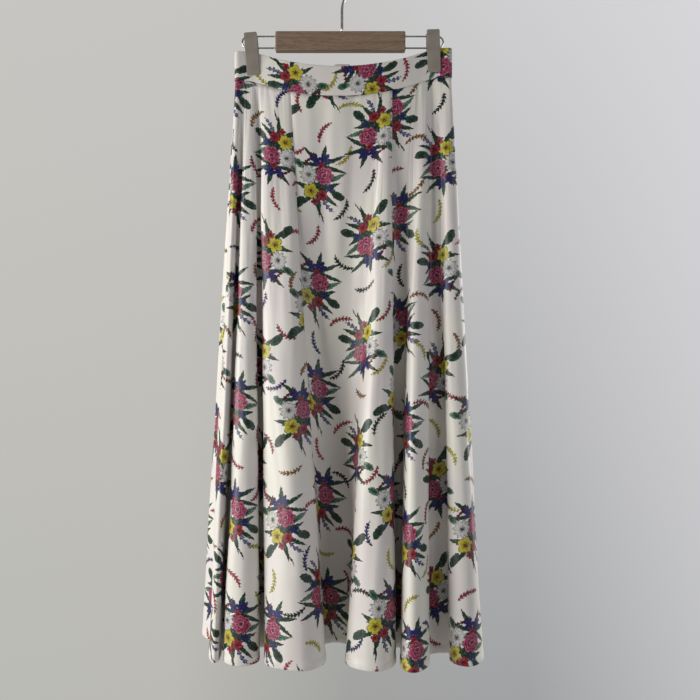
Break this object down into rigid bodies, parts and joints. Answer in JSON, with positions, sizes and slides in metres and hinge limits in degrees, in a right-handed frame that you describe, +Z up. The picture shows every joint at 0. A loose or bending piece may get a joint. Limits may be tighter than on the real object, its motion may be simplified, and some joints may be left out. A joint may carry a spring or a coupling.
{
  "type": "midi skirt on clip hanger",
  "caption": "Flared midi skirt of printed satin with a shaped waistband and a concealed back zip, hung by its waistband from a clip hanger with a wooden bar.",
  "frame": {"origin": "the inside top of the hook, where it rests on the rail that holds it", "axes": "+X to the viewer's right of the skirt's front, +Y from the front to the back, +Z up"},
  "size_m": [0.4234, 0.1685, 0.9952],
  "materials": {
    "printed_satin": "satin weave with a soft sheen, printed all over with flowers",
    "bar_wood": "stained and matt lacquered",
    "clip_enamel": "warm grey semi-gloss enamel",
    "bright_steel": "bright plated steel wire",
    "zip_enamel": "ivory enamel, dyed to match the cloth"
  },
  "bodies": {
    "skirt_on_hanger": {"front_left_panel": "printed_satin", "front_centre_panel": "printed_satin", "front_right_panel": "printed_satin", "back_right_panel": "printed_satin", "back_left_panel": "printed_satin", "front_waistband": "printed_satin", "back_right_waistband": "printed_satin", "back_left_waistband": "printed_satin", "hanger_bar": "bar_wood", "hanger_hook": "bright_steel", "left_rail": "bright_steel", "right_rail": "bright_steel", "left_clip_front": "clip_enamel", "left_clip_back": "clip_enamel", "left_clip_spring": "bright_steel", "right_clip_front": "clip_enamel", "right_clip_back": "clip_enamel", "right_clip_spring": "bright_steel", "zip_slider": "zip_enamel", "zip_bridge": "zip_enamel"},
    "zip_pull": {"zip_pull": "zip_enamel"}
  },
  "joints": [
    {"name": "zip_pull_swing", "type": "hinge", "parent": "skirt_on_hanger", "child": "zip_pull", "pos_m": [0, 0.0141, -0.14415], "axis": [1, 0, 0], "range_deg": [0, 150]}
  ]
}
